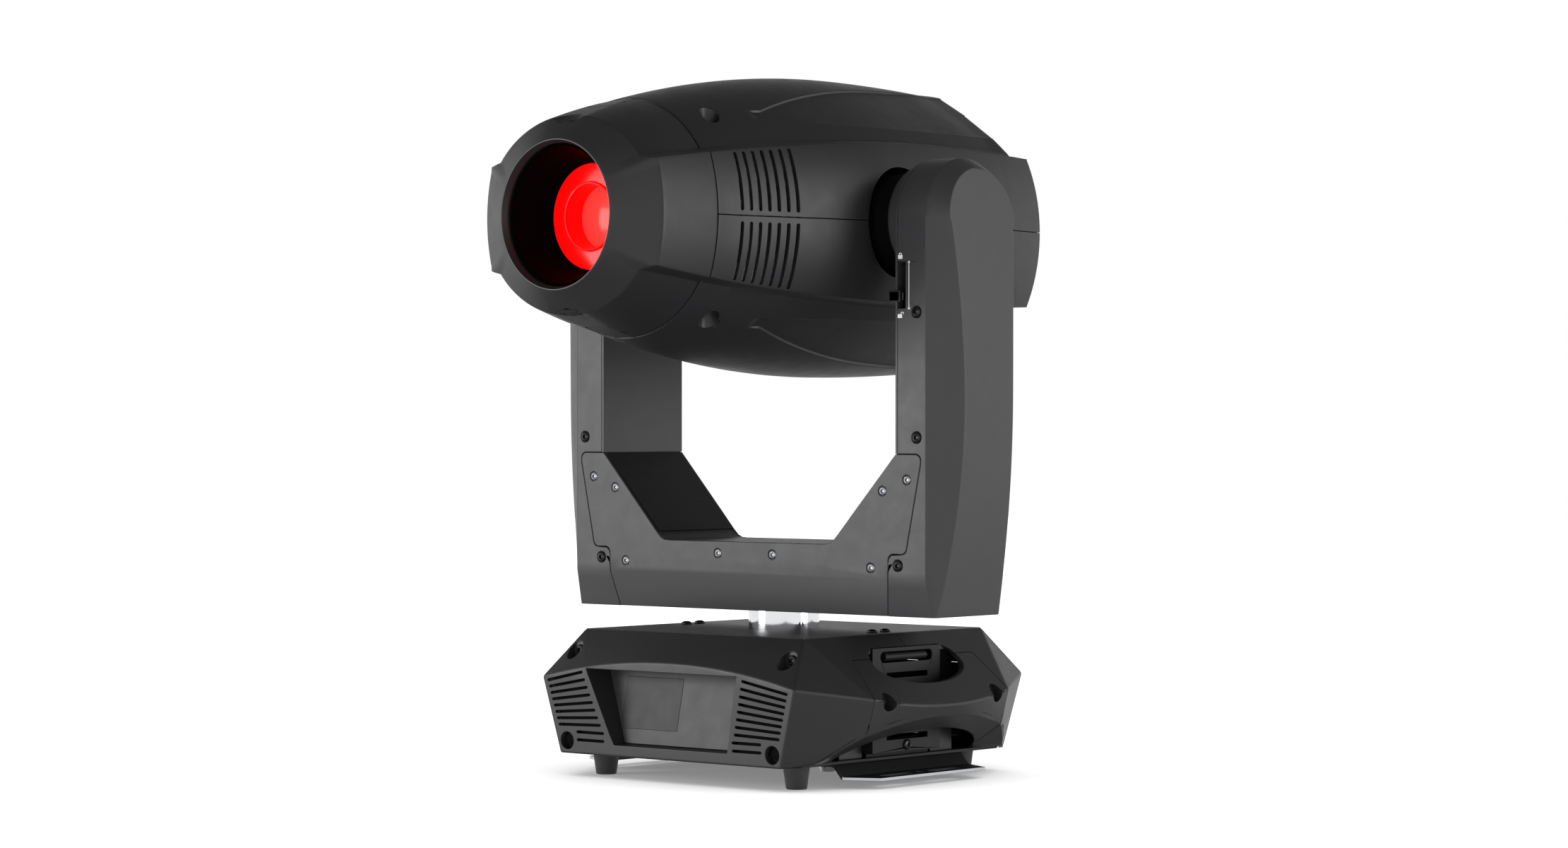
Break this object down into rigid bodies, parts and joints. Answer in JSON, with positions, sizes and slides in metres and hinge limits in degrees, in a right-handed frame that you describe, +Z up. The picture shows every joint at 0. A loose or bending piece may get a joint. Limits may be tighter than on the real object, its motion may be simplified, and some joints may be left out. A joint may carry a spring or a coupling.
{
  "type": "moving head light",
  "caption": "Stage light with a head that tilts in a two-armed yoke, which pans on a low base with side grips, rubber feet and clamp brackets.",
  "frame": {"origin": "on the pan axis at the level of the feet's undersides", "axes": "+Z up along the pan axis, -Y the way the lens faces at rest, +X towards the arm with the tilt lock"},
  "size_m": [0.441, 0.492, 0.5901],
  "materials": {
    "base_plastic": "fine moulded texture",
    "yoke_plastic": "fine moulded texture",
    "head_plastic": "fine moulded texture",
    "panel_plastic": "satin",
    "gloss_black": "semi-gloss",
    "black_metal": "powder coat",
    "black_steel": "black oxide",
    "rubber": "matte",
    "belt_rubber": "matte",
    "window": "smooth",
    "red_lens": "polished",
    "chrome": "polished",
    "steel": "machined",
    "aluminium": "machined",
    "circuit_board": "solder mask",
    "marking": "printed ink"
  },
  "bodies": {
    "base": {"base_bottom_plate": "black_metal", "base_front_cover": "base_plastic", "base_rear_cover": "base_plastic", "base_left_handle_cover": "base_plastic", "base_right_handle_cover": "base_plastic", "base_top_plate": "base_plastic", "display_panel": "panel_plastic", "display_window": "window", "chassis_side_walls": "panel_plastic", "rubber_feet": "rubber", "left_clamp_bracket": "black_metal", "right_clamp_bracket": "black_metal", "connector_panel": "panel_plastic", "panel_sockets": "gloss_black", "power_supply": "aluminium", "control_board": "circuit_board", "base_screws": "black_steel", "pan_column": "chrome", "pan_pulley": "aluminium"},
    "quarter_turn_1": {"quarter_turn_1": "steel"},
    "quarter_turn_2": {"quarter_turn_2": "steel"},
    "quarter_turn_3": {"quarter_turn_3": "steel"},
    "quarter_turn_4": {"quarter_turn_4": "steel"},
    "yoke": {"yoke_frame": "yoke_plastic", "yoke_front_plate": "yoke_plastic", "yoke_rear_plate": "yoke_plastic", "left_arm_cover": "yoke_plastic", "right_arm_cover": "yoke_plastic", "pan_bearing": "steel", "tilt_bearings": "steel", "pan_motor": "black_metal", "pan_belt": "belt_rubber", "tilt_motor": "black_metal", "tilt_belt": "belt_rubber", "yoke_plate_screws": "steel", "arm_cover_screws": "black_steel"},
    "pan_motor_pulley": {"pan_motor_pulley": "steel"},
    "tilt_motor_pulley": {"tilt_motor_pulley": "steel"},
    "tilt_lock_slider": {"tilt_lock_slider": "gloss_black"},
    "head": {"nose_bezel": "head_plastic", "upper_shell": "head_plastic", "lower_shell": "head_plastic", "rear_grille": "head_plastic", "tilt_hubs": "head_plastic", "tilt_pulley": "aluminium", "head_chassis": "aluminium", "guide_rods": "steel", "lens_tube": "gloss_black", "front_lens": "red_lens", "led_engine": "aluminium", "heat_sink": "aluminium", "fan_frame": "gloss_black", "wheel_motors": "black_metal", "head_screws": "black_steel"},
    "fan_rotor": {"fan_rotor": "gloss_black"},
    "colour_wheel": {"colour_wheel": "steel"},
    "gobo_wheel": {"gobo_wheel": "steel"},
    "zoom_carriage": {"zoom_carriage": "aluminium"},
    "focus_carriage": {"focus_carriage": "aluminium"}
  },
  "joints": [
    {"name": "pan", "type": "hinge", "parent": "base", "child": "yoke", "pos_m": [0, 0, 0.139], "axis": [0, 0, 1], "range_deg": [-270, 270]},
    {"name": "tilt", "type": "hinge", "parent": "yoke", "child": "head", "pos_m": [0, 0, 0.463], "axis": [-1, 0, 0], "range_deg": [-45, 225]},
    {"name": "pan_motor_spin", "type": "hinge", "parent": "yoke", "child": "pan_motor_pulley", "pos_m": [-0.092, 0, 0.182], "axis": [0, 0, 1], "range_deg": [-810, 810]},
    {"name": "tilt_motor_spin", "type": "hinge", "parent": "yoke", "child": "tilt_motor_pulley", "pos_m": [0.188, 0, 0.33], "axis": [-1, 0, 0], "range_deg": [-135, 675]},
    {"name": "tilt_lock", "type": "slide", "parent": "yoke", "child": "tilt_lock_slider", "axis": [0, 0, 1], "range_m": [0, 0.018]},
    {"name": "quarter_turn_1", "type": "hinge", "parent": "base", "child": "quarter_turn_1", "pos_m": [0.112, -0.074, 0.017], "axis": [0, 0, 1], "range_deg": [0, 90]},
    {"name": "quarter_turn_2", "type": "hinge", "parent": "base", "child": "quarter_turn_2", "pos_m": [0.112, 0.074, 0.017], "axis": [0, 0, 1], "range_deg": [0, 90]},
    {"name": "quarter_turn_3", "type": "hinge", "parent": "base", "child": "quarter_turn_3", "pos_m": [-0.112, 0.074, 0.017], "axis": [0, 0, 1], "range_deg": [0, 90]},
    {"name": "quarter_turn_4", "type": "hinge", "parent": "base", "child": "quarter_turn_4", "pos_m": [-0.112, -0.074, 0.017], "axis": [0, 0, 1], "range_deg": [0, 90]},
    {"name": "fan_spin", "type": "hinge", "parent": "head", "child": "fan_rotor", "pos_m": [0, 0.16, 0.463], "axis": [0, 1, 0], "continuous": true},
    {"name": "colour_wheel_spin", "type": "hinge", "parent": "head", "child": "colour_wheel", "pos_m": [0, -0.023, 0.507], "axis": [0, 1, 0], "continuous": true},
    {"name": "gobo_wheel_spin", "type": "hinge", "parent": "head", "child": "gobo_wheel", "pos_m": [0, -0.015, 0.419], "axis": [0, 1, 0], "continuous": true},
    {"name": "zoom", "type": "slide", "parent": "head", "child": "zoom_carriage", "axis": [0, 1, 0], "range_m": [-0.012, 0.038]},
    {"name": "focus", "type": "slide", "parent": "head", "child": "focus_carriage", "axis": [0, 1, 0], "range_m": [-0.012, 0.014]}
  ],
  "couplings": [
    {"joint": "pan_motor_spin", "follows": "pan", "ratio": -3},
    {"joint": "tilt_motor_spin", "follows": "tilt", "ratio": 3}
  ]
}
